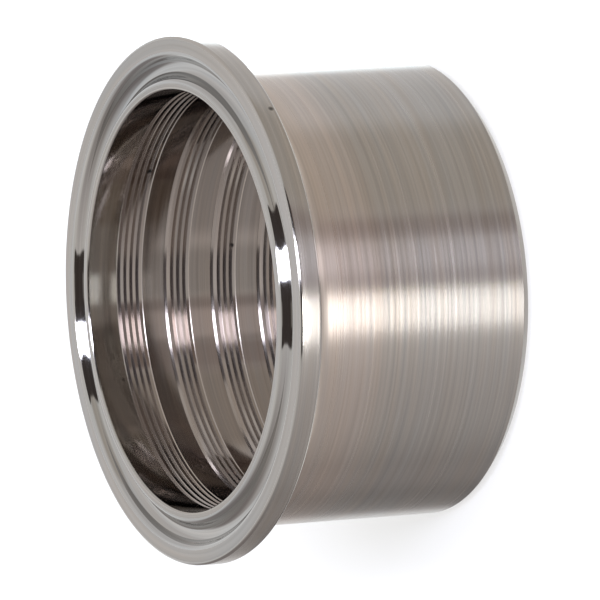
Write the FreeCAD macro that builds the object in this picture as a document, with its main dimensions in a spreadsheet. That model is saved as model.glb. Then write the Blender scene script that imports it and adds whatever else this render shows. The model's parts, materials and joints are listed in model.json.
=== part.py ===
import FreeCAD, Part
import os

import Sketcher

# An expanding ferrule: a turned stainless ring with a clamp flange at one end. The ring slides over
# the end of a tube, and the tube is rolled outwards until its wall flows into the four bands of
# narrow channels in the bore. It is one piece of metal, so it is one solid.
#
# The ferrule stands on its plain end. The origin is the centre of that end, Z runs up the bore, and
# the sealing face of the flange is the highest plane. Lengths are in millimetres, angles in degrees.
# Every curve of the half section is drawn as a few straight sides between corners on its circle, so
# that each side turns into a plain cone.

SIZES = {
    "tube_diameter": 50.8,      # outside of the tube that is rolled into the bore
    "tube_clearance": 0.2,      # slip of the tube in the bore, on the diameter
    "body_wall": 2.3,           # wall of the plain ring, at the smooth lands of the bore
    "front_land": 4.0,          # smooth bore between the sealing face and the first band
    "rear_land": 6.0,           # smooth bore between the last band and the plain end
    "band_pitch": 6.5,          # from one band of channels to the next
    "band_count": 4,
    "channel_pitch": 0.83,      # between the roots of two channels
    "channel_count": 4,         # channels in a band
    "root_depth": 0.33,         # from the bore down to the bottom of a channel
    "crest_depth": 0.2,         # from the bore down to the ridge between two channels
    "end_run": 0.64,            # slope at each end of a band, along the bore, from a land to a root
    "lead_pitch": 0.9,          # from the first channel of the rear bands to their second
    "lead_depth": 0.42,         # the first channel of the rear bands is deeper
    "groove_offset": 2.67,      # from the bore to the middle of the gasket groove
    "groove_depth": 1.6,
    "groove_radius": 1.2,       # the round floor of the groove
    "groove_wall": 70,          # slope of its two walls, from the sealing face
    "groove_lip": 0.7,          # radius where the walls roll over into the sealing face
    "rim_offset": 3.78,         # from the middle of the gasket groove to the rim of the flange
    "rim_thickness": 2.8,
    "taper_angle": 20,          # back of the flange, which the two halves of a clamp wedge
    "neck_radius": 2.3,         # where the taper runs into the ring
    "rim_break": 0.35,
    "bore_break": 0.25,
    "end_chamfer": 1.2,         # outside of the plain end
    "end_break": 0.3,           # inside of the plain end
}

# What follows from the driving sizes, as expressions that bind the sketches to the sheet. A place on
# the half section is a pair of them: the radius, and the height above the plain end.
BORE = "((sizes.tube_diameter + sizes.tube_clearance) / 2)"
BODY = f"({BORE} + sizes.body_wall)"
GROOVE = f"({BORE} + sizes.groove_offset)"
RIM = f"({GROOVE} + sizes.rim_offset)"
REAR_BAND = "(2 * sizes.end_run + sizes.lead_pitch + (sizes.channel_count - 2) * sizes.channel_pitch)"
LENGTH = f"(sizes.front_land + (sizes.band_count - 1) * sizes.band_pitch + {REAR_BAND} + sizes.rear_land)"
RIM_BACK = f"({LENGTH} - sizes.rim_thickness)"
TAPER = "(sizes.taper_angle * 1 deg)"
WALL = "(sizes.groove_wall * 1 deg)"

NODE = "ferrule"
NECK_SIDES = 3
LIP_SIDES = 2
FLOOR_SIDES = 5
CUT_MARGIN = 1.0
SAME = 1e-4
ORIGIN = (-1, 1)
START, END = 1, 2


def make_sheet(doc):
    sheet = doc.addObject("Spreadsheet::Sheet", "sizes")
    for row, (name, value) in enumerate(SIZES.items(), start=1):
        sheet.set(f"A{row}", name)
        sheet.set(f"B{row}", str(value))
        sheet.setAlias(f"B{row}", name)
    doc.recompute()
    return sheet


def number(sheet, expression):
    """The value of an expression, as a plain number of millimetres."""
    value = sheet.evalExpression(expression)
    return float(getattr(value, "Value", value))


def point(sheet, place):
    return FreeCAD.Vector(*(number(sheet, expression) for expression in place), 0)


def origin_feature(body, role):
    return next(item for item in body.Origin.OriginFeatures if item.Role == role)


def bind(sketch, kind, geometry, value, name, expression):
    """Adds a dimension to the sketch and ties it to the sheet."""
    rule = sketch.addConstraint(Sketcher.Constraint(kind, *geometry, value))
    sketch.renameConstraint(rule, name)
    sketch.setExpression(f"Constraints.{name}", expression)


def bend(centre, radius, first, last, sides):
    """Corners on a circle, from one angle to another, for that many straight sides."""
    across, up = centre
    turned = [f"({first} + ({last} - {first}) * {side / sides:.6g})" for side in range(sides + 1)]
    return [(f"{across} + {radius} * cos({angle})", f"{up} + {radius} * sin({angle})") for angle in turned]


def turn(body, sheet, kind, name, corners):
    """Turns a closed half section about the bore's axis, to add metal or to cut it.

    Straight sides join the corners in turn, and two dimensions hold each corner.
    """
    sketch = body.newObject("Sketcher::SketchObject", f"{name}_section")
    sketch.AttachmentSupport = (origin_feature(body, "XZ_Plane"), [""])
    sketch.MapMode = "FlatFace"
    points = [point(sheet, corner) for corner in corners]
    ends = points[1:] + points[:1]
    for start, end in zip(points, ends):
        sketch.addGeometry(Part.LineSegment(start, end), False)
    for side in range(len(points)):
        following = (side + 1) % len(points)
        sketch.addConstraint(Sketcher.Constraint("Coincident", side, END, following, START))
    for side, (across, up) in enumerate(corners):
        bind(sketch, "DistanceX", (*ORIGIN, side, START), points[side].x, f"across{side}", across)
        bind(sketch, "DistanceY", (*ORIGIN, side, START), points[side].y, f"up{side}", up)
    feature = body.newObject(kind, name)
    feature.Profile = sketch
    feature.ReferenceAxis = (sketch, ["V_Axis"])
    feature.Angle = 360.0
    body.Document.recompute()
    return feature


def add_ring(body, sheet):
    """The ring and its flange, with a plain bore and a plain face."""
    neck_across = f"({BODY} + sizes.neck_radius)"
    taper_drop = f"({RIM} - {neck_across}) * tan({TAPER})"
    neck_up = f"({RIM_BACK} - {taper_drop} - sizes.neck_radius / cos({TAPER}))"
    neck = bend((neck_across, neck_up), "sizes.neck_radius", f"(90 deg + {TAPER})", "180 deg", NECK_SIDES)
    bore = [(BODY, "0 mm"), (BORE, "0 mm"), (BORE, LENGTH)]
    turn(body, sheet, "PartDesign::Revolution", "ring", [(RIM, LENGTH), (RIM, RIM_BACK), *neck, *bore])


def cut(body, sheet, name, corners):
    before = body.Shape.Volume
    feature = turn(body, sheet, "PartDesign::Groove", name, corners)
    if body.Shape.Volume > before - SAME:
        raise ValueError(f"{name} cuts nothing")
    return feature


def add_gasket_groove(body, sheet):
    """The groove for the gasket's bead: two steep walls with rolled lips and a round floor."""
    radii = "(sizes.groove_lip + sizes.groove_radius)"
    straight = f"(sizes.groove_depth - {radii} * (1 - cos({WALL})))"
    reach = f"({radii} * sin({WALL}) + {straight} / tan({WALL}))"
    lip_up = f"({LENGTH} - sizes.groove_lip)"
    outer_lip = (f"({GROOVE} + {reach})", lip_up)
    inner_lip = (f"({GROOVE} - {reach})", lip_up)
    floor = (GROOVE, f"({LENGTH} - sizes.groove_depth + sizes.groove_radius)")
    above = f"{LENGTH} + {CUT_MARGIN}"
    cut(body, sheet, "gasket_groove", [
        *bend(outer_lip, "sizes.groove_lip", "90 deg", f"(90 deg + {WALL})", LIP_SIDES),
        *bend(floor, "sizes.groove_radius", f"({WALL} - 90 deg)", f"(-90 deg - {WALL})", FLOOR_SIDES),
        *bend(inner_lip, "sizes.groove_lip", f"(90 deg - {WALL})", "90 deg", LIP_SIDES),
        (inner_lip[0], above),
        (outer_lip[0], above),
    ])


def band_corners(top, lead_pitch, lead_depth):
    """One band of channels from its flange end: a V for each channel, with low ridges between."""
    up = f"{top} - sizes.end_run"
    corners = [(f"{BORE} - {CUT_MARGIN}", top), (BORE, top), (f"{BORE} + {lead_depth}", up)]
    for channel in range(1, SIZES["channel_count"]):
        pitch = lead_pitch if channel == 1 else "sizes.channel_pitch"
        corners.append((f"{BORE} + sizes.crest_depth", f"{up} - {pitch} / 2"))
        up = f"{up} - {pitch}"
        corners.append((f"{BORE} + sizes.root_depth", up))
    bottom = f"{up} - sizes.end_run"
    return [*corners, (BORE, bottom), (f"{BORE} - {CUT_MARGIN}", bottom)]


def add_bands(body, sheet):
    """The front band, then the rear bands, each of which starts with a deeper channel."""
    top = f"({LENGTH} - sizes.front_land)"
    cut(body, sheet, "front_band", band_corners(top, "sizes.channel_pitch", "sizes.root_depth"))
    next_top = f"({top} - sizes.band_pitch)"
    second = cut(body, sheet, "second_band", band_corners(next_top, "sizes.lead_pitch", "sizes.lead_depth"))
    before = body.Shape.Volume
    row = body.newObject("PartDesign::LinearPattern", "rear_bands")
    row.Originals = [second]
    row.Direction = (origin_feature(body, "Z_Axis"), [""])
    row.Reversed = True
    row.setExpression("Length", "(sizes.band_count - 2) * sizes.band_pitch")
    row.setExpression("Occurrences", "sizes.band_count - 1")
    body.Tip = row
    body.Document.recompute()
    if body.Shape.Volume > before - SAME:
        raise ValueError("the rear bands were not repeated")


def edge_at(shape, corner):
    """The name of the circular edge that turns about the axis through that corner."""
    found = [f"Edge{index}" for index, edge in enumerate(shape.Edges, start=1)
             if edge.Closed and isinstance(edge.Curve, Part.Circle)
             and abs(edge.Curve.Radius - corner.x) < SAME
             and abs(edge.Curve.Center.z - corner.y) < SAME]
    if len(found) != 1:
        raise ValueError(f"{len(found)} edges at radius {corner.x:.3f}, height {corner.y:.3f}")
    return found[0]


def chamfer(body, sheet, size, places):
    """Chamfers the edges at those corners of the half section by the named size."""
    base = body.Tip
    feature = body.newObject("PartDesign::Chamfer", size)
    feature.Base = (base, [edge_at(base.Shape, point(sheet, place)) for place in places])
    feature.setExpression("Size", f"sizes.{size}")
    body.Document.recompute()


def build_ferrule(doc, sheet):
    body = doc.addObject("PartDesign::Body", NODE)
    body.Label = NODE
    add_ring(body, sheet)
    add_gasket_groove(body, sheet)
    add_bands(body, sheet)
    chamfer(body, sheet, "rim_break", [(RIM, LENGTH), (RIM, RIM_BACK)])
    chamfer(body, sheet, "bore_break", [(BORE, LENGTH)])
    chamfer(body, sheet, "end_chamfer", [(BODY, "0 mm")])
    chamfer(body, sheet, "end_break", [(BORE, "0 mm")])
    return body


def check(doc, body):
    """Stops the build if anything in the document failed or the ferrule isn't one sound solid."""
    failed = [item.Name for item in doc.Objects if {"Invalid", "Error"} & set(item.State)]
    if failed:
        raise RuntimeError(f"these objects failed: {', '.join(failed)}")
    if body.Shape.isNull() or not body.Shape.isValid() or len(body.Shape.Solids) != 1:
        raise RuntimeError("the ferrule is not one valid solid")


def main():
    doc = FreeCAD.newDocument("expanding_ferrule")
    sheet = make_sheet(doc)
    body = build_ferrule(doc, sheet)
    check(doc, body)
    os.makedirs("parts", exist_ok=True)
    body.Shape.exportStep(f"parts/{NODE}.step")
    box = body.Shape.optimalBoundingBox(False)
    print(f"{NODE}: {body.Shape.Volume:.1f} mm3, {len(body.Shape.Faces)} faces, "
          f"{box.XLength:.2f} across and {box.ZLength:.2f} high")


main()
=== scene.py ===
import json
import math

import bpy
import numpy as np
from mathutils import Matrix, Vector


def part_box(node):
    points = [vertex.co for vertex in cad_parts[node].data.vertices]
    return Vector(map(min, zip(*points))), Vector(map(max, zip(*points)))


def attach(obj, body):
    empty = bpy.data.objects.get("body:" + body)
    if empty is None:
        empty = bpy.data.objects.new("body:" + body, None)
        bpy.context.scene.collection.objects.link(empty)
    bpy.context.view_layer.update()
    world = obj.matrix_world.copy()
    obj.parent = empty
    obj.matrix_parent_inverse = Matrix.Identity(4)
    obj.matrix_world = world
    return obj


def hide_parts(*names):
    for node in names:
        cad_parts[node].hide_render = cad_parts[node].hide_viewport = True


# An expanding ferrule: a turned stainless ring with a clamp flange. It stands on its plain end with
# the bore along Z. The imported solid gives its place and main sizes. This script turns its half section
# again as a finer mesh, with rounded edges and with channels that lean towards the flange, and gives
# each surface its own finish.
# Lengths are in millimetres and turn into metres where meshes and shader nodes are made.

MM = 0.001
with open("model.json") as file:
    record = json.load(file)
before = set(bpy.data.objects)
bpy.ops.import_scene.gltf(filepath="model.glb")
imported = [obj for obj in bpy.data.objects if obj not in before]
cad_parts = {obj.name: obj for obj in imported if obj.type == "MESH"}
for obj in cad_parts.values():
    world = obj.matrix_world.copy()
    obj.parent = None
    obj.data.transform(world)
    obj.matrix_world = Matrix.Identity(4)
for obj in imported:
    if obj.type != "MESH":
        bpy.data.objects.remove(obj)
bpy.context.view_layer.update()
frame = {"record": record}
low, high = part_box("ferrule")
bore_mount = next(mount for mount in frame["record"]["mounts"] if mount["name"] == "tube_bore")

LENGTH = high.z / MM
RIM = high.x / MM
BORE = bore_mount["dims"]["r_mm"]

# The outside, from the plain end to the flange.
BODY_WALL = 2.3
BODY = BORE + BODY_WALL
RIM_THICKNESS = 2.8
TAPER = math.radians(20)
NECK_RADIUS = 2.3
RIM_ROUND = 0.4
BORE_ROUND = 0.3
END_CHAMFER = 1.2
END_ROUND = 0.3
EDGE_ROUND = 0.1

# The gasket groove in the sealing face.
GROOVE_OFFSET = 2.67
GROOVE = BORE + GROOVE_OFFSET
GROOVE_DEPTH = 1.6
GROOVE_RADIUS = 1.2
GROOVE_WALL = math.radians(70)
GROOVE_LIP = 0.7

# The bands of channels in the bore. The first channel of each later band is the lead.
FRONT_LAND = 4.0
BAND_PITCH = 6.5
BAND_COUNT = 4
BAND_LENGTH = 3.6
BAND_RECESS = 0.08
BAND_EXIT = math.radians(53)
CHANNEL_COUNT = 4
CHANNEL_START = 0.88
CHANNEL_PITCH = 0.83
CHANNEL_DEPTH = 0.26
CHANNEL_SLOPE = math.radians(30)
FIRST_DEPTH = 0.2
FIRST_RIDGE_SLOPE = math.radians(3)
LEAD_ENTRY = 0.02
LEAD_DEPTH = 0.36
LEAD_RIDGE_SLOPE = math.radians(9)
RIDGE_SLOPE = math.radians(14)
RUN_SLOPE = math.radians(4)

# The fineness of the mesh.
SEGMENTS = 288
ARC_STEP = math.radians(8)
ARC_LEAST = 3
SHARP_TURN = math.radians(15)


def arc(centre, radius, start, end):
    """Points on a circle from one angle to another, both in radians, with both ends."""
    count = max(ARC_LEAST, math.ceil(abs(end - start) / ARC_STEP))
    return [(centre[0] + radius * math.cos(turned), centre[1] + radius * math.sin(turned))
            for turned in np.linspace(start, end, count + 1)]


def round_corner(before, corner, after, radius):
    """The arc that rounds a corner between two straight sides."""
    here, back, on = (Vector(place) for place in (corner, before, after))
    into, out = (here - back).normalized(), (on - here).normalized()
    turn = into.angle_signed(out)
    reach = radius * math.tan(abs(turn) / 2)
    start = here - into * reach
    side = Vector((into.y, -into.x)) if turn > 0 else Vector((-into.y, into.x))
    centre = start + side * radius
    first = math.atan2(*(start - centre).yx)
    return arc(centre, radius, first, first - turn)


def bore_place(along, depth):
    """A place in the bore's half section, by its way down from the sealing face and its depth."""
    return BORE + depth, LENGTH - along


def band(top):
    """One band of the bore, from its place below the sealing face down, as (finish, points) strokes.
    Right-angled channels lean towards the flange, with ridges between them that slope into the next.
    A lead is nearly square to the bore on its side towards the flange, and slopes on the other."""
    in_slope = math.tan(CHANNEL_SLOPE)
    if top == FRONT_LAND:
        finish, cut = "land", FIRST_DEPTH
        ridge_slope, next_slope = FIRST_RIDGE_SLOPE, FIRST_RIDGE_SLOPE
        root = (top + (BAND_RECESS + cut) / in_slope, BAND_RECESS + cut)
        ridge = root[0] + cut * in_slope
    else:
        finish, cut = "channel", CHANNEL_DEPTH
        ridge_slope, next_slope = LEAD_RIDGE_SLOPE, RIDGE_SLOPE
        root = (top + LEAD_ENTRY, LEAD_DEPTH)
        ridge = top + (LEAD_DEPTH - BAND_RECESS) / in_slope
    strokes = [("channel", [(top, 0), root, (ridge, BAND_RECESS)])]
    for number in range(1, CHANNEL_COUNT):
        deepest = top + CHANNEL_START + CHANNEL_PITCH * (number - 1) + CHANNEL_DEPTH / in_slope
        fall = math.tan(ridge_slope)
        in_run = (cut - (deepest - ridge) * fall) / (in_slope - fall)
        start = (deepest - in_run, BAND_RECESS + cut - in_run * in_slope)
        strokes.append((finish, [(ridge, BAND_RECESS), start]))
        ridge = deepest + cut * in_slope
        strokes.append(("channel", [start, (deepest, BAND_RECESS + cut), (ridge, BAND_RECESS)]))
        finish, ridge_slope = "land", next_slope
    end = top + BAND_LENGTH
    rise = 1 / (1 / math.tan(RUN_SLOPE) + 1 / math.tan(BAND_EXIT))
    depth = (end - ridge + BAND_RECESS / math.tan(RUN_SLOPE)) * rise
    exit_start = (end - depth / math.tan(BAND_EXIT), depth)
    return strokes + [("land", [(ridge, BAND_RECESS), exit_start]), ("channel", [exit_start, (end, 0)])]


def bore_profile():
    """The bore from the sealing face down to the plain end, as (finish, points) strokes."""
    strokes = []
    place = (BORE_ROUND, 0)
    for number in range(BAND_COUNT):
        channels = band(FRONT_LAND + number * BAND_PITCH)
        strokes.append(("land" if number else "mouth", [place, channels[0][1][0]]))
        strokes += channels
        place = channels[-1][1][-1]
    strokes.append(("land", [place, (LENGTH - END_ROUND, 0)]))
    return [(finish, [bore_place(*corner) for corner in points]) for finish, points in strokes]


def face_profile():
    """The sealing face from the rim inwards to the bore, with the gasket groove."""
    radii = GROOVE_LIP + GROOVE_RADIUS
    straight = GROOVE_DEPTH - radii * (1 - math.cos(GROOVE_WALL))
    reach = radii * math.sin(GROOVE_WALL) + straight / math.tan(GROOVE_WALL)
    up = math.pi / 2
    lip_height = LENGTH - GROOVE_LIP
    floor_height = LENGTH - GROOVE_DEPTH + GROOVE_RADIUS
    outer_lip = arc((GROOVE + reach, lip_height), GROOVE_LIP, up, up + GROOVE_WALL)
    floor = arc((GROOVE, floor_height), GROOVE_RADIUS, GROOVE_WALL - up, -up - GROOVE_WALL)
    inner_lip = arc((GROOVE - reach, lip_height), GROOVE_LIP, up - GROOVE_WALL, up)
    mouth = arc((BORE + BORE_ROUND, LENGTH - BORE_ROUND), BORE_ROUND, up, 2 * up)
    return [("face", [(RIM - RIM_ROUND, LENGTH), outer_lip[0]]), ("groove", outer_lip),
            ("groove", [outer_lip[-1], floor[0]]), ("groove", floor), ("groove", [floor[-1], inner_lip[0]]),
            ("groove", inner_lip), ("face", [inner_lip[-1], mouth[0]]), ("rim", mouth)]


def outside_profile():
    """The outside from the plain end up to the sealing face."""
    back = LENGTH - RIM_THICKNESS
    neck_across = BODY + NECK_RADIUS
    neck_up = back - (RIM - neck_across) * math.tan(TAPER) - NECK_RADIUS / math.cos(TAPER)
    neck = arc((neck_across, neck_up), NECK_RADIUS, math.pi, math.pi / 2 + TAPER)
    inner = (BORE, 0)
    chamfer_in, chamfer_out = (BODY - END_CHAMFER, 0), (BODY, END_CHAMFER)
    end_break = round_corner((BORE, LENGTH), inner, chamfer_in, END_ROUND)
    edge_in = round_corner(inner, chamfer_in, chamfer_out, EDGE_ROUND)
    edge_out = round_corner(chamfer_in, chamfer_out, neck[0], EDGE_ROUND)
    rim_back = round_corner(neck[-1], (RIM, back), (RIM, LENGTH), RIM_ROUND)
    rim_front = round_corner((RIM, back), (RIM, LENGTH), (BORE, LENGTH), RIM_ROUND)
    return [("end", end_break), ("end", [end_break[-1], edge_in[0]]), ("end", edge_in),
            ("end", [edge_in[-1], edge_out[0]]), ("end", edge_out), ("body", [edge_out[-1], neck[0]]),
            ("body", neck), ("taper", [neck[-1], rim_back[0]]), ("rim", rim_back),
            ("flange", [rim_back[-1], rim_front[0]]), ("rim", rim_front)]


def make_ring(name, strokes, materials):
    """The turned mesh. The strokes follow on from each other and close up."""
    finishes = list(materials)
    points, finish_of = [], []
    for finish, stroke in strokes:
        points += stroke[:-1]
        finish_of += [finishes.index(finish)] * (len(stroke) - 1)
    section = np.array(points)
    count = len(section)
    turned = np.linspace(0, 2 * math.pi, SEGMENTS, endpoint=False)
    places = np.empty((SEGMENTS, count, 3))
    places[:, :, 0] = np.cos(turned)[:, None] * section[:, 0]
    places[:, :, 1] = np.sin(turned)[:, None] * section[:, 0]
    places[:, :, 2] = section[:, 1]
    mesh = bpy.data.meshes.new(name)
    corner = np.arange(SEGMENTS * count).reshape(SEGMENTS, count)
    on, up = np.roll(corner, -1, 0), np.roll(corner, -1, 1)
    quads = np.stack([corner, up, np.roll(up, -1, 0), on], -1).reshape(-1, 4)
    mesh.from_pydata((places.reshape(-1, 3) * MM).tolist(), [], quads.tolist())
    for material in materials.values():
        mesh.materials.append(material)
    mesh.polygons.foreach_set("material_index", np.tile(finish_of, SEGMENTS))
    mesh.shade_smooth()
    mark_sharp_rings(mesh, section)
    mesh.validate()
    piece = bpy.data.objects.new(name, mesh)
    bpy.context.scene.collection.objects.link(piece)
    return piece


def mark_sharp_rings(mesh, section):
    """Keeps the shading crisp where the section turns a corner."""
    into = section - np.roll(section, 1, 0)
    out = np.roll(section, -1, 0) - section
    cross = into[:, 0] * out[:, 1] - into[:, 1] * out[:, 0]
    dot = (into * out).sum(1)
    sharp_ring = np.abs(np.arctan2(cross, dot)) > SHARP_TURN
    ends = np.empty(len(mesh.edges) * 2, dtype=np.int64)
    mesh.edges.foreach_get("vertices", ends)
    first, second = (ends.reshape(-1, 2) % len(section)).T
    sharp = mesh.attributes.new("sharp_edge", "BOOLEAN", "EDGE")
    sharp.data.foreach_set("value", (first == second) & sharp_ring[first])


def new_material(name):
    material = bpy.data.materials.new(name)
    material.use_nodes = True
    tree = material.node_tree
    return material, tree, tree.nodes["Principled BSDF"]


def math_node(tree, operation, *values):
    """A Math node with its inputs linked or set, in order, and its result."""
    node = tree.nodes.new("ShaderNodeMath")
    node.operation = operation
    for socket, value in zip(node.inputs, values):
        if isinstance(value, (int, float)):
            socket.default_value = value
        else:
            tree.links.new(value, socket)
    return node.outputs[0]


# Noise with its detail and roughness, and the middle part of its values that is drawn on.
NOISE_DETAIL = 3.0
NOISE_ROUGHNESS = 0.6
NOISE_SPAN = (0.3, 0.7)


def turning_marks(tree, fine, slow, seed):
    """Noise drawn out round the axis: fine steps across the tool marks, slow change along them."""
    nodes, links = tree.nodes, tree.links
    where = nodes.new("ShaderNodeSeparateXYZ")
    links.new(nodes.new("ShaderNodeTexCoord").outputs["Object"], where.inputs[0])
    x, y, z = where.outputs
    radius = math_node(tree, "SQRT", math_node(tree, "ADD", math_node(tree, "MULTIPLY", x, x),
                                               math_node(tree, "MULTIPLY", y, y)))
    across = math_node(tree, "ADD", math_node(tree, "MULTIPLY", radius, fine / MM),
                       math_node(tree, "MULTIPLY", x, slow / MM))
    along = math_node(tree, "ADD", math_node(tree, "MULTIPLY", z, fine / MM),
                      math_node(tree, "MULTIPLY", y, slow / MM))
    place = nodes.new("ShaderNodeCombineXYZ")
    links.new(across, place.inputs[0])
    links.new(along, place.inputs[1])
    place.inputs[2].default_value = seed
    noise = nodes.new("ShaderNodeTexNoise")
    links.new(place.outputs[0], noise.inputs["Vector"])
    noise.inputs["Scale"].default_value = 1.0
    noise.inputs["Detail"].default_value = NOISE_DETAIL
    noise.inputs["Roughness"].default_value = NOISE_ROUGHNESS
    return noise.outputs[0]


def ramp(tree, value, low_colour, high_colour, low, high):
    node = tree.nodes.new("ShaderNodeValToRGB")
    tree.links.new(value, node.inputs[0])
    node.color_ramp.elements[0].position = low
    node.color_ramp.elements[0].color = (*low_colour, 1)
    node.color_ramp.elements[1].position = high
    node.color_ramp.elements[1].color = (*high_colour, 1)
    return node.outputs[0]


def blend(tree, kind, factor, first, second):
    node = tree.nodes.new("ShaderNodeMix")
    node.data_type = "RGBA"
    node.blend_type = kind
    node.inputs["Factor"].default_value = factor
    tree.links.new(first, node.inputs[6])
    tree.links.new(second, node.inputs[7])
    return node.outputs[2]


def map_range(tree, value, low, high, low_result, high_result, kind="LINEAR"):
    node = tree.nodes.new("ShaderNodeMapRange")
    node.interpolation_type = kind
    tree.links.new(value, node.inputs["Value"])
    node.inputs["From Min"].default_value = low
    node.inputs["From Max"].default_value = high
    node.inputs["To Min"].default_value = low_result
    node.inputs["To Max"].default_value = high_result
    return node.outputs[0]


# The dark specks: each has its middle and its radius in millimetres and how much of the steel's
# colour shows in it. Its core is evenly dark, and its edge is soft.
SPECK_CORE = 0.4
SPECKS = [
    ((21.95, -23.21, 31.18), 0.42, 0.25),
    ((16.18, 19.84, 26.5), 0.42, 0.04),
    ((6.6, 24.7, 13.3), 0.36, 0.1),
    ((-9.3, 23.74, 29.9), 0.3, 0.4),
]


def add_specks(tree, coat):
    place = tree.nodes.new("ShaderNodeTexCoord").outputs["Object"]
    for middle, radius, shade in SPECKS:
        away = tree.nodes.new("ShaderNodeVectorMath")
        away.operation = "DISTANCE"
        tree.links.new(place, away.inputs[0])
        away.inputs[1].default_value = [value * MM for value in middle]
        shown = map_range(tree, away.outputs["Value"], SPECK_CORE * radius * MM, radius * MM, shade, 1.0)
        coat = blend(tree, "MULTIPLY", 1.0, coat, shown)
    return coat


# The tool marks and the wider patches of tint: steps a millimetre across them and along them.
TOOL_MARKS = (2.2, 0.02)
TINT_PATCHES = (0.5, 0.035)
TINT_SEED = 7.3
TINTS = ((1.03, 0.99, 0.94), (0.97, 1.0, 1.02))
GRAIN = 0.12
RADIAL_TURN = 0.25

# Where the body takes on its painted warm light and its added roughness, as parts of the ferrule's height.
PAINTED_LIGHT_ZONE = (0.57, 0.68)
NECK_ZONE = (0.74, 0.84)
NECK_ROUGHNESS = 0.06


def steel(name, colour, roughness, spread, anisotropy, mark_height, seed, edge=1.0, dull=0.0, painted_light=None):
    """Turned stainless steel. Roughness varies by spread between the tool marks, and colour by the
    grain; edge is how much of its shine is left where it is seen along the surface, dull is the part
    of the light that the marks scatter, and the last one is painted light: a warm brightening of the
    colour towards the flange that stands in for light that the flange throws onto it there."""
    material, tree, shader = new_material(name)
    lines = turning_marks(tree, *TOOL_MARKS, seed)
    patches = turning_marks(tree, *TINT_PATCHES, seed + TINT_SEED)
    dim, bright = ([channel * (1 + shift) for channel in colour] for shift in (-GRAIN, GRAIN))
    tint = ramp(tree, patches, *TINTS, *NOISE_SPAN)
    coat = blend(tree, "MULTIPLY", 1.0, ramp(tree, lines, dim, bright, *NOISE_SPAN), tint)
    # Painted warm light: the colour is brightened towards the flange, for light that the flange throws onto
    # the body.
    if painted_light:
        where = tree.nodes.new("ShaderNodeSeparateXYZ")
        tree.links.new(tree.nodes.new("ShaderNodeTexCoord").outputs["Object"], where.inputs[0])
        height = math_node(tree, "DIVIDE", where.outputs[2], LENGTH * MM)
        coat = blend(tree, "MULTIPLY", 1.0, coat, ramp(tree, height, (1, 1, 1), painted_light, *PAINTED_LIGHT_ZONE))
    tree.links.new(add_specks(tree, coat), shader.inputs["Base Color"])
    rough = map_range(tree, lines, *NOISE_SPAN, roughness - spread, roughness + spread)
    if painted_light:
        rough = math_node(tree, "ADD", rough, map_range(tree, height, *NECK_ZONE, 0.0, NECK_ROUGHNESS))
    tree.links.new(rough, shader.inputs["Roughness"])
    shader.inputs["Metallic"].default_value = 1.0 - dull
    shader.inputs["Specular Tint"].default_value = (edge, edge, edge, 1)
    if anisotropy:
        shader.inputs["Anisotropic"].default_value = anisotropy
        shader.inputs["Anisotropic Rotation"].default_value = RADIAL_TURN
        tangent = tree.nodes.new("ShaderNodeTangent")
        tangent.direction_type = "RADIAL"
        tangent.axis = "Z"
        tree.links.new(tangent.outputs[0], shader.inputs["Tangent"])
    if mark_height:
        bump = tree.nodes.new("ShaderNodeBump")
        bump.inputs["Strength"].default_value = 1.0
        bump.inputs["Distance"].default_value = mark_height * MM
        tree.links.new(lines, bump.inputs["Height"])
        tree.links.new(bump.outputs[0], shader.inputs["Normal"])
    return material


STEEL = (0.345, 0.322, 0.305)
# The lands and channels of the bore are darker copies of the steel: painted shade for the light that
# doesn't reach into the bore.
SHADED_BORE_STEEL = (0.26, 0.228, 0.21)
SHADED_CHANNEL_STEEL = (0.29, 0.255, 0.235)
GROOVE_STEEL = (0.345, 0.335, 0.33)
MOUTH_STEEL = (0.45, 0.43, 0.405)
# A painted warm light on the body near the flange, which brightens its colour there as light thrown off the
# flange would.
FLANGE_PAINTED_LIGHT = (1.2, 1.12, 1.08)

# Each finish has a name, a colour, a roughness and its spread, an anisotropy, the height of its marks
# in millimetres and a seed.
FINISHES = {
    "mouth": steel("bore_mouth_steel", MOUTH_STEEL, 0.08, 0.02, 0.3, 0.0, 10.0, edge=0.5),
    "land": steel("bore_land_steel", SHADED_BORE_STEEL, 0.09, 0.02, 0.3, 0.0, 1.0, edge=0.5),
    "channel": steel("channel_steel", SHADED_CHANNEL_STEEL, 0.15, 0.02, 0.0, 0.0, 2.0, dull=0.1),
    "face": steel("sealing_face_steel", STEEL, 0.5, 0.04, 0.3, 0.0004, 3.0),
    "groove": steel("gasket_groove_steel", GROOVE_STEEL, 0.06, 0.01, 0.0, 0.0, 4.0),
    "rim": steel("edge_steel", STEEL, 0.12, 0.02, 0.0, 0.0, 5.0),
    "body": steel("brushed_body_steel", STEEL, 0.25, 0.03, 0.85, 0.0003, 6.0, painted_light=FLANGE_PAINTED_LIGHT),
    "flange": steel("flange_edge_steel", STEEL, 0.25, 0.03, 0.85, 0.0003, 9.0),
    "taper": steel("taper_steel", STEEL, 0.4, 0.05, 0.8, 0.0005, 7.0),
    "end": steel("plain_end_steel", STEEL, 0.3, 0.05, 0.5, 0.0003, 8.0),
}

strokes = outside_profile() + face_profile() + bore_profile()
ring = make_ring("turned_ring", strokes, FINISHES)
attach(ring, "root")
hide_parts("ferrule")

# The floor that the ferrule stands on. It is white paper to the eye, with the shadow on it. The metal
# doesn't mirror it, but the studio below it, as if the ferrule hung in a tent of white cloth.
FLOOR_SIZE = 6000
FLOOR_DROP = 0.01
FLOOR_COLOUR = (0.93, 0.93, 0.93)
FLOOR_GLOW = 0.6


def mix_shaders(tree, factor, first, second):
    node = tree.nodes.new("ShaderNodeMixShader")
    tree.links.new(factor, node.inputs[0])
    tree.links.new(first, node.inputs[1])
    tree.links.new(second, node.inputs[2])
    return node.outputs[0]


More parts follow.
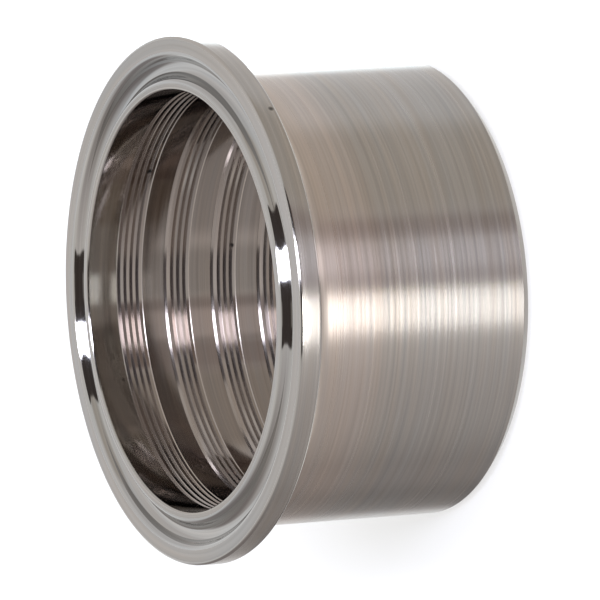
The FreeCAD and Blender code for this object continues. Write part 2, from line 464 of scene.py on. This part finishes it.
def make_floor():
    half = FLOOR_SIZE / 2 * MM
    mesh = bpy.data.meshes.new("floor")
    corners = [(-half, -half), (half, -half), (half, half), (-half, half)]
    mesh.from_pydata([(x, y, -FLOOR_DROP * MM) for x, y in corners], [], [(0, 1, 2, 3)])
    floor = bpy.data.objects.new("floor", mesh)
    bpy.context.scene.collection.objects.link(floor)
    material, tree, shader = new_material("floor_paper")
    shader.inputs["Base Color"].default_value = (*FLOOR_COLOUR, 1)
    shader.inputs["Roughness"].default_value = 1.0
    shader.inputs["Specular IOR Level"].default_value = 0.0
    ray = tree.nodes.new("ShaderNodeLightPath")
    glow = tree.nodes.new("ShaderNodeEmission")
    clear = tree.nodes.new("ShaderNodeBsdfTransparent")
    to_eye = math_node(tree, "MULTIPLY", ray.outputs["Is Camera Ray"], FLOOR_GLOW)
    white = mix_shaders(tree, to_eye, shader.outputs[0], glow.outputs[0])
    seen = math_node(tree, "ADD", ray.outputs["Is Camera Ray"], ray.outputs["Is Diffuse Ray"])
    paper = mix_shaders(tree, seen, clear.outputs[0], white)
    tree.links.new(paper, tree.nodes["Material Output"].inputs["Surface"])
    material.cycles.emission_sampling = "NONE"
    mesh.materials.append(material)


make_floor()

# The studio is a tent of white cloth with cloths and cards in it, each of which covers the ones before
# it. The walls stand round the ferrule: each has the azimuth of its middle, from the camera towards
# +X, its half width, the soft width of its sides, its lowest and highest elevation and the soft width
# of those, its colour and its strength. Angles are in degrees, and a wall from the bottom has no soft
# lower side. The low walls between -27.5 and -23 are what the lands of the bore mirror.
BOTTOM = -90
TENT = (1.12, 1.12, 1.10)
WALLS = [
    (180, 65, 50, BOTTOM, 75, 40, (1.0, 1.0, 1.0), 1.25),
    (110, 25, 40, BOTTOM, 40, 40, (1.0, 1.0, 1.0), 0.98),
    (-50, 30, 40, BOTTOM, 40, 40, (1.0, 0.97, 0.96), 0.97),
    (-131, 62, 112, BOTTOM, 40, 40, (1.0, 0.93, 0.92), 0.41),
    (180, 22, 14, BOTTOM, 60, 30, (0.97, 0.99, 1.0), 1.2),
    (64, 27, 14, BOTTOM, 30, 30, (1.0, 0.94, 0.86), 0.76),
    (30.5, 6.3, 3, BOTTOM, 20, 20, (1.0, 0.83, 0.76), 0.46),
    (15.5, 7.5, 3, BOTTOM, 20, 20, (1.0, 0.93, 0.92), 0.57),
    (4.0, 5.0, 3, BOTTOM, 20, 20, (1.0, 0.86, 0.85), 0.44),
    (-140, 16, 16, BOTTOM, -27, 2, (1.0, 0.95, 0.94), 0.2),
    (-132, 32, 16, -27.3, -23.0, 1.5, (1.0, 0.97, 0.95), 0.85),
    (-65.0, 27.0, 12, -27.5, -23.0, 1.5, (1.0, 0.97, 0.96), 0.62),
    (64.0, 24.0, 12, -27.5, -23.0, 1.5, (1.0, 0.94, 0.88), 0.65),
    (-16.0, 14.0, 10, -27.5, -23.0, 1.5, (1.0, 0.97, 0.95), 0.62),
    (19.0, 22.0, 5, -27.5, -23.0, 1.5, (1.0, 0.92, 0.89), 0.66),
    (12.5, 8.0, 5, -27.5, -23.0, 1.5, (1.0, 0.93, 0.91), 1.08),
    (-11.0, 8.5, 2.5, -12, 2, 2, (1.0, 1.0, 1.0), 35.0),
    (0, 200, 10, BOTTOM, -52, 20, (1.0, 0.97, 0.94), 0.74),
    (115, 34, 16, BOTTOM, -48, 12, (0.97, 1.0, 1.0), 1.6),
    (-115, 34, 16, BOTTOM, -48, 12, (0.97, 1.0, 1.0), 1.6),
    (162, 15, 12, -29, -19, 4, (0.9, 1.0, 1.06), 4.0),
]
# The cards hang round the camera: a dark one with a paler patch, and a white strip above the horizon
# and one below it. Each has its turns from the camera towards +X and its rises, from 0 at the horizon
# on the camera's side over the top to 180 behind the ferrule, or less than 0 below the horizon. Then
# come its soft width, its colour and its strength.
CARD_LEAN = math.radians(25)
CARDS = [
    ((-23.6, 40.5), (0, 67.5), 2.0, (0.09, 0.075, 0.07), 1.0),
    ((-14, -3), (50, 67.5), 2.0, (0.35, 0.33, 0.31), 1.0),
    ((6.5, 20.7), (4, 92), 1.0, (0.93, 0.97, 1.14), 13.0),
    ((6.5, 20.7), (-100, -48), 3.0, (1.0, 0.95, 0.98), 2.1),
]


def soft_step(tree, value, edge, width, rising):
    before, after = (0.0, 1.0) if rising else (1.0, 0.0)
    return map_range(tree, value, edge - width / 2, edge + width / 2, before, after, "SMOOTHSTEP")


def hang(tree, light, steps, colour, strength):
    """Covers the light behind a card, inside all its soft steps, with the card's own."""
    mask = steps[0]
    for step in steps[1:]:
        mask = math_node(tree, "MULTIPLY", mask, step)
    mix = tree.nodes.new("ShaderNodeMix")
    mix.data_type = "RGBA"
    tree.links.new(mask, mix.inputs["Factor"])
    tree.links.new(light, mix.inputs[6])
    mix.inputs[7].default_value = (*(channel * strength for channel in colour), 1)
    return mix.outputs[2]


def make_world():
    world = bpy.data.worlds.new("studio")
    bpy.context.scene.world = world
    world.use_nodes = True
    tree = world.node_tree
    where = tree.nodes.new("ShaderNodeSeparateXYZ")
    tree.links.new(tree.nodes.new("ShaderNodeTexCoord").outputs["Generated"], where.inputs[0])
    x, y, z = where.outputs
    near = math_node(tree, "MULTIPLY", y, -1)
    azimuth = math_node(tree, "DEGREES", math_node(tree, "ARCTAN2", x, near))
    elevation = math_node(tree, "DEGREES", math_node(tree, "ARCSINE", z))
    rise = math_node(tree, "DEGREES", math_node(tree, "ARCTAN2", z, near))
    ahead = math_node(tree, "ADD", math_node(tree, "MULTIPLY", near, math.cos(CARD_LEAN)),
                      math_node(tree, "MULTIPLY", math_node(tree, "ABSOLUTE", z), math.sin(CARD_LEAN)))
    turn = math_node(tree, "DEGREES", math_node(tree, "ARCTAN2", x, ahead))
    tent = tree.nodes.new("ShaderNodeRGB")
    tent.outputs[0].default_value = (*TENT, 1)
    light = tent.outputs[0]
    for middle, half, side, lowest, highest, soft, colour, strength in WALLS:
        aside = math_node(tree, "WRAP", math_node(tree, "SUBTRACT", azimuth, middle), 180, -180)
        steps = [soft_step(tree, math_node(tree, "ABSOLUTE", aside), half, side, False),
                 soft_step(tree, elevation, highest, soft, False)]
        if lowest > BOTTOM:
            steps.append(soft_step(tree, elevation, lowest, soft, True))
        light = hang(tree, light, steps, colour, strength)
    for turns, rises, soft, colour, strength in CARDS:
        steps = [soft_step(tree, value, edge, soft, rising)
                 for value, span in ((turn, turns), (rise, rises))
                 for edge, rising in zip(span, (True, False))]
        light = hang(tree, light, steps, colour, strength)
    background = tree.nodes["Background"]
    tree.links.new(light, background.inputs["Color"])


make_world()

# The camera looks down at the flange with its right side towards the floor, as the picture does.
CAMERA_FROM_FACE = Vector((-0.75, -761.97, 375.7))
CAMERA_ELEVATION = math.radians(27.23)
CAMERA_ROLL = math.radians(93.49)
SENSOR = 36.0
FOCAL_LENGTH = 422.8
CLIP_START = 0.01
CLIP_END = 20.0


def make_camera():
    data = bpy.data.cameras.new("camera")
    data.sensor_width = SENSOR
    data.lens = FOCAL_LENGTH
    data.clip_start = CLIP_START
    data.clip_end = CLIP_END
    camera = bpy.data.objects.new("camera", data)
    bpy.context.scene.collection.objects.link(camera)
    ahead = Vector((0, math.cos(CAMERA_ELEVATION), -math.sin(CAMERA_ELEVATION)))
    level = Vector((1, 0, 0))
    upright = level.cross(ahead)
    right = level * math.cos(CAMERA_ROLL) - upright * math.sin(CAMERA_ROLL)
    up = level * math.sin(CAMERA_ROLL) + upright * math.cos(CAMERA_ROLL)
    turned = Matrix((right, up, -ahead)).transposed()
    place = Vector((0, 0, LENGTH)) + CAMERA_FROM_FACE
    camera.matrix_world = Matrix.Translation(place * MM) @ turned.to_4x4()
    bpy.context.scene.camera = camera


make_camera()

bpy.context.scene.view_settings.view_transform = "Standard"
